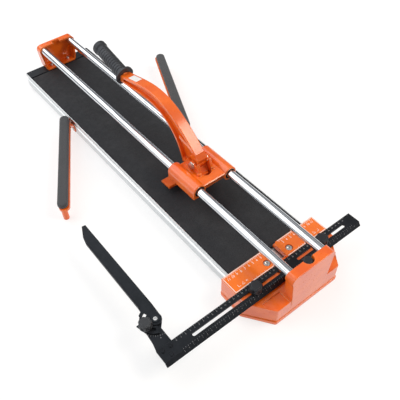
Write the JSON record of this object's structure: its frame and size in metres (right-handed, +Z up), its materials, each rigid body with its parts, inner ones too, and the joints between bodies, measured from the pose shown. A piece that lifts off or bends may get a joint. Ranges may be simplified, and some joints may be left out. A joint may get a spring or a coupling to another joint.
{
  "type": "tile cutter",
  "caption": "Manual tile cutter: lined bed with end fence, twin guide rails, sliding scoring carriage with breaking foot, sliding angle guide and swing-out side arms.",
  "frame": {"origin": "on the resting plane, under the fence edge on the cutting line", "axes": "+X across the bed, +Y along the cutting line from the fence to the rear, +Z up"},
  "size_m": [0.5533, 0.9985, 0.2437],
  "materials": {
    "orange_paint": "glossy powder coat",
    "bed_aluminium": "anodised extrusion",
    "mat_rubber": "fine-grained rubber mat",
    "rail_chrome": "hard chromed and polished",
    "black_metal": "black powder coat",
    "knob_plastic": "moulded, matt",
    "grey_plastic": "moulded, matt",
    "zinc_steel": "bright zinc plated",
    "dark_steel": "ground steel",
    "grip_rubber": "ribbed, matt",
    "foam": "soft closed-cell foam",
    "bronze": "sintered bronze",
    "carbide": "ground carbide",
    "foot_rubber": "matt"
  },
  "bodies": {
    "base": {"base_tray": "bed_aluminium", "left_pad": "mat_rubber", "right_pad": "mat_rubber", "breaking_rib": "bed_aluminium", "rear_crossbar": "black_metal", "base_feet": "foot_rubber", "front_block": "orange_paint", "block_bottom_plate": "dark_steel", "bottom_plate_screws": "zinc_steel", "left_scale_plate": "orange_paint", "right_scale_plate": "orange_paint", "scale_plate_screws": "zinc_steel", "scale_plate_nuts": "zinc_steel", "left_rail": "rail_chrome", "right_rail": "rail_chrome", "rear_bracket": "orange_paint", "rear_bracket_screws": "zinc_steel", "rail_end_bolts": "zinc_steel", "left_arm_bracket": "orange_paint", "right_arm_bracket": "orange_paint", "arm_pivot_bolts": "zinc_steel", "arm_bracket_screws": "zinc_steel", "ruler_washers": "zinc_steel"},
    "carriage": {"carriage_body": "orange_paint", "left_bush": "bronze", "right_bush": "bronze", "bush_seals": "foot_rubber", "pivot_bolt": "zinc_steel", "pivot_nut": "orange_paint", "pivot_washers": "zinc_steel"},
    "handle": {"handle_arm": "orange_paint", "rubber_grip": "grip_rubber", "wheel_holder": "dark_steel", "holder_screw": "zinc_steel", "wheel_axle": "zinc_steel", "foot_pin": "zinc_steel"},
    "wheel": {"scoring_wheel": "carbide"},
    "foot": {"breaker_foot": "orange_paint", "breaker_pads": "foot_rubber"},
    "ruler": {"ruler_bar": "black_metal", "end_plate": "black_metal", "ruler_rivets": "black_metal", "arm_eyelet": "zinc_steel"},
    "angle_arm": {"guide_arm": "black_metal"},
    "left_knob": {"left_ruler_knob": "knob_plastic"},
    "right_knob": {"right_ruler_knob": "knob_plastic"},
    "middle_knob": {"centre_knob": "knob_plastic"},
    "angle_knob": {"arm_knob": "grey_plastic"},
    "left_arm": {"left_arm_bar": "orange_paint", "left_arm_leg": "orange_paint", "left_arm_foam": "foam"},
    "right_arm": {"right_arm_bar": "orange_paint", "right_arm_leg": "orange_paint", "right_arm_foam": "foam"}
  },
  "joints": [
    {"name": "carriage_slide", "type": "slide", "parent": "base", "child": "carriage", "axis": [0, 1, 0], "range_m": [-0.205, 0.55]},
    {"name": "handle_pivot", "type": "hinge", "parent": "carriage", "child": "handle", "pos_m": [0, 0.216, 0.132], "axis": [1, 0, 0], "range_deg": [-11, 20]},
    {"name": "wheel_spin", "type": "hinge", "parent": "handle", "child": "wheel", "pos_m": [0, 0.204, 0.063], "axis": [1, 0, 0], "continuous": true},
    {"name": "foot_pivot", "type": "hinge", "parent": "handle", "child": "foot", "pos_m": [0, 0.2615, 0.079], "axis": [1, 0, 0], "range_deg": [-8, 8]},
    {"name": "ruler_slide", "type": "slide", "parent": "base", "child": "ruler", "axis": [1, 0, 0], "range_m": [-0.055, 0.06]},
    {"name": "angle_arm_pivot", "type": "hinge", "parent": "ruler", "child": "angle_arm", "pos_m": [-0.2658, 0.0089, 0.059], "axis": [0, 0, 1], "range_deg": [-2, 60]},
    {"name": "left_knob_turn", "type": "hinge", "parent": "base", "child": "left_knob", "pos_m": [-0.087, -0.058, 0.068], "axis": [0, 0, 1], "range_deg": [0, 360]},
    {"name": "right_knob_turn", "type": "hinge", "parent": "base", "child": "right_knob", "pos_m": [0.087, -0.058, 0.068], "axis": [0, 0, 1], "range_deg": [0, 360]},
    {"name": "middle_knob_turn", "type": "hinge", "parent": "base", "child": "middle_knob", "pos_m": [0, -0.0958, 0.11], "axis": [0, 0, 1], "range_deg": [0, 360]},
    {"name": "angle_knob_turn", "type": "hinge", "parent": "ruler", "child": "angle_knob", "pos_m": [-0.2872, 0.0082, 0.067], "axis": [0, 0, 1], "range_deg": [0, 360]},
    {"name": "left_arm_pivot", "type": "hinge", "parent": "base", "child": "left_arm", "pos_m": [-0.113, 0.636, 0.03], "axis": [0, 0, 1], "range_deg": [-60, 28]},
    {"name": "right_arm_pivot", "type": "hinge", "parent": "base", "child": "right_arm", "pos_m": [0.113, 0.418, 0.03], "axis": [0, 0, 1], "range_deg": [-60, 23]}
  ]
}
